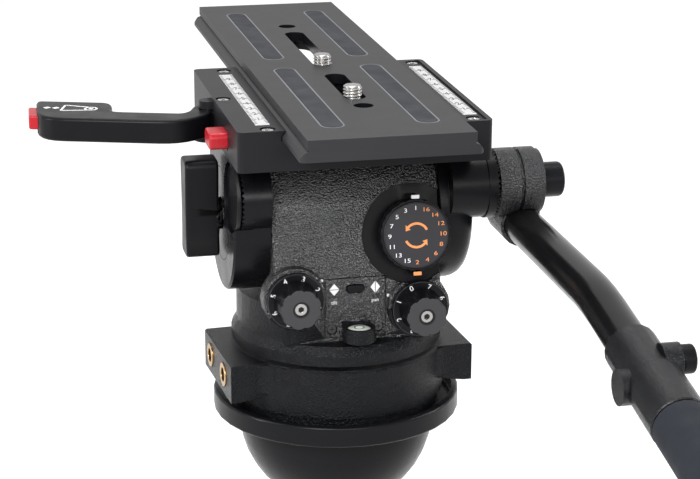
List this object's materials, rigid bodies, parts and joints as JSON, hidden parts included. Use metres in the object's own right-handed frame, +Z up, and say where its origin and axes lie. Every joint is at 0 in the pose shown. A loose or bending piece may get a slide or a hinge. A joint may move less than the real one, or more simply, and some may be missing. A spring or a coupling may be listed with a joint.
{
  "type": "fluid head",
  "caption": "Video fluid head with a sliding camera plate, drag and counterbalance dials, a level, lock levers and a clamped, bent pan handle.",
  "frame": {"origin": "on the pan axis, at the flat underside of the mounting ring, which lies on the rim of the tripod bowl", "axes": "+Z up along the pan axis, +Y towards the camera lens, away from the operator, +X to the operator's right along the tilt axis"},
  "size_m": [0.2588, 0.6072, 0.2716],
  "materials": {
    "satin_black": "smooth satin black anodised aluminium",
    "crinkle_black": "black crinkle powder coat",
    "steel": "bright steel",
    "black_steel": "blackened steel",
    "brass": "plain brass",
    "moulded_black": "moulded black",
    "vial": "clear level vial",
    "anodised_grey": "charcoal anodised aluminium",
    "scale_white": "white scale strip",
    "red_plastic": "red plastic",
    "rubber_grey": "dark grey rubber",
    "tube_black": "smooth gloss black tube",
    "grip_rubber": "dark foam rubber"
  },
  "bodies": {
    "base": {"mounting_ring": "satin_black", "half_ball": "satin_black", "tie_down_stud": "steel", "pan_base": "crinkle_black", "pan_shaft": "steel", "left_near_insert": "brass", "left_far_insert": "brass", "right_near_insert": "brass", "right_far_insert": "brass"},
    "tie_down": {"tie_down_knob": "moulded_black"},
    "pan_body": {"body_casting": "crinkle_black", "level_panel": "crinkle_black", "left_panel_screw": "black_steel", "right_panel_screw": "black_steel", "level_cup": "crinkle_black", "level_vial": "vial", "tilt_drag_cartridge": "steel", "counterbalance_cartridge": "steel", "pan_drag_cartridge": "steel"},
    "light_switch": {"light_button": "moulded_black"},
    "counterbalance": {"counterbalance_dial": "moulded_black"},
    "tilt_drag": {"tilt_drag_dial": "moulded_black", "tilt_drag_knob": "moulded_black", "tilt_knob_screw": "steel"},
    "pan_drag": {"pan_drag_dial": "moulded_black", "pan_drag_knob": "moulded_black", "pan_knob_screw": "steel"},
    "pan_lock": {"pan_lock_lever": "moulded_black"},
    "platform": {"saddle": "anodised_grey", "left_scale_strip": "scale_white", "right_scale_strip": "scale_white", "rail_screw_leftFar": "black_steel", "rail_screw_leftNear": "black_steel", "rail_screw_leftMiddle": "black_steel", "rail_screw_rightFar": "black_steel", "rail_screw_rightNear": "black_steel", "left_arm": "satin_black", "right_arm": "satin_black", "left_rosette_cap": "satin_black", "left_disc_cover": "satin_black", "tilt_shaft": "steel", "lever_pivot_pin": "steel"},
    "jaw": {"clamp_jaw": "steel"},
    "tilt_lock": {"tilt_lock_lever": "moulded_black"},
    "platform_lever": {"platform_lock_lever": "moulded_black"},
    "lever_tip": {"lever_tip_button": "red_plastic"},
    "safety": {"safety_button": "red_plastic"},
    "plate": {"camera_plate": "anodised_grey", "left_near_pad": "rubber_grey", "right_near_pad": "rubber_grey", "left_far_pad": "rubber_grey", "right_far_pad": "rubber_grey"},
    "near_screw": {"near_camera_screw": "steel"},
    "far_screw": {"far_camera_screw": "steel"},
    "handle": {"handle_clamp": "crinkle_black", "handle_tube": "tube_black", "handle_collar": "moulded_black"},
    "handle_knob": {"clamp_knob": "satin_black"},
    "collar_clamp": {"collar_screw": "moulded_black"},
    "grip": {"handle_grip": "grip_rubber"}
  },
  "joints": [
    {"name": "pan", "type": "hinge", "parent": "base", "child": "pan_body", "pos_m": [0, 0, 0.043], "axis": [0, 0, 1], "continuous": true},
    {"name": "tie_down_turn", "type": "hinge", "parent": "base", "child": "tie_down", "pos_m": [0, 0, -0.06], "axis": [0, 0, 1], "continuous": true},
    {"name": "tilt", "type": "hinge", "parent": "pan_body", "child": "platform", "pos_m": [0, 0, 0.1055], "axis": [1, 0, 0], "range_deg": [-65, 25]},
    {"name": "light_press", "type": "slide", "parent": "pan_body", "child": "light_switch", "axis": [0, 1, 0], "range_m": [0, 0.0006], "stiffness_N_per_m": 400},
    {"name": "counterbalance_turn", "type": "hinge", "parent": "pan_body", "child": "counterbalance", "pos_m": [0.0294, -0.0486, 0.1028], "axis": [0, -0.9848, 0.1736], "range_deg": [-157.5, 0]},
    {"name": "tilt_drag_turn", "type": "hinge", "parent": "pan_body", "child": "tilt_drag", "pos_m": [-0.0302, -0.05, 0.0729], "axis": [0, -1, 0], "range_deg": [-225, 90]},
    {"name": "pan_drag_turn", "type": "hinge", "parent": "pan_body", "child": "pan_drag", "pos_m": [0.0321, -0.05, 0.0648], "axis": [0, -1, 0], "range_deg": [-270, 45]},
    {"name": "pan_lock_turn", "type": "hinge", "parent": "pan_body", "child": "pan_lock", "pos_m": [0, 0.055, 0.056], "axis": [0, 1, 0], "range_deg": [0, 60]},
    {"name": "tilt_lock_turn", "type": "hinge", "parent": "platform", "child": "tilt_lock", "pos_m": [-0.07, 0, 0.1055], "axis": [1, 0, 0], "range_deg": [0, 75]},
    {"name": "platform_lever_swing", "type": "hinge", "parent": "platform", "child": "platform_lever", "pos_m": [-0.0627, 0.011, 0.15], "axis": [0, 0, -1], "range_deg": [0, 62]},
    {"name": "jaw_slide", "type": "slide", "parent": "platform", "child": "jaw", "axis": [-1, 0, 0], "range_m": [0, 0.0015]},
    {"name": "tip_press", "type": "slide", "parent": "platform_lever", "child": "lever_tip", "axis": [0.9537, -0.3007, 0], "range_m": [0, 0.0018], "stiffness_N_per_m": 400},
    {"name": "safety_press", "type": "slide", "parent": "platform", "child": "safety", "axis": [1, 0, 0], "range_m": [0, 0.0026], "stiffness_N_per_m": 400},
    {"name": "plate_slide", "type": "slide", "parent": "platform", "child": "plate", "axis": [0, 1, 0], "range_m": [-0.12, 0.04]},
    {"name": "near_screw_turn", "type": "hinge", "parent": "plate", "child": "near_screw", "pos_m": [0.0025, -0.0255, 0.165], "axis": [0, 0, 1], "continuous": true},
    {"name": "far_screw_turn", "type": "hinge", "parent": "plate", "child": "far_screw", "pos_m": [0.0025, 0.0452, 0.165], "axis": [0, 0, 1], "continuous": true},
    {"name": "handle_angle", "type": "hinge", "parent": "platform", "child": "handle", "pos_m": [0.08, -0.027, 0.1209], "axis": [1, 0, 0], "continuous": true},
    {"name": "handle_knob_turn", "type": "hinge", "parent": "handle", "child": "handle_knob", "pos_m": [0.1, -0.027, 0.1209], "axis": [1, 0, 0], "continuous": true},
    {"name": "collar_screw_turn", "type": "hinge", "parent": "handle", "child": "collar_clamp", "pos_m": [0.1, -0.214, 0.09372], "axis": [1, 0, 0], "range_deg": [0, 180]},
    {"name": "grip_slide", "type": "slide", "parent": "handle", "child": "grip", "axis": [0, -0.9829, -0.184], "range_m": [0, 0.04]}
  ],
  "couplings": [
    {"joint": "jaw_slide", "follows": "platform_lever_swing", "m_per_rad": 0.00138}
  ]
}
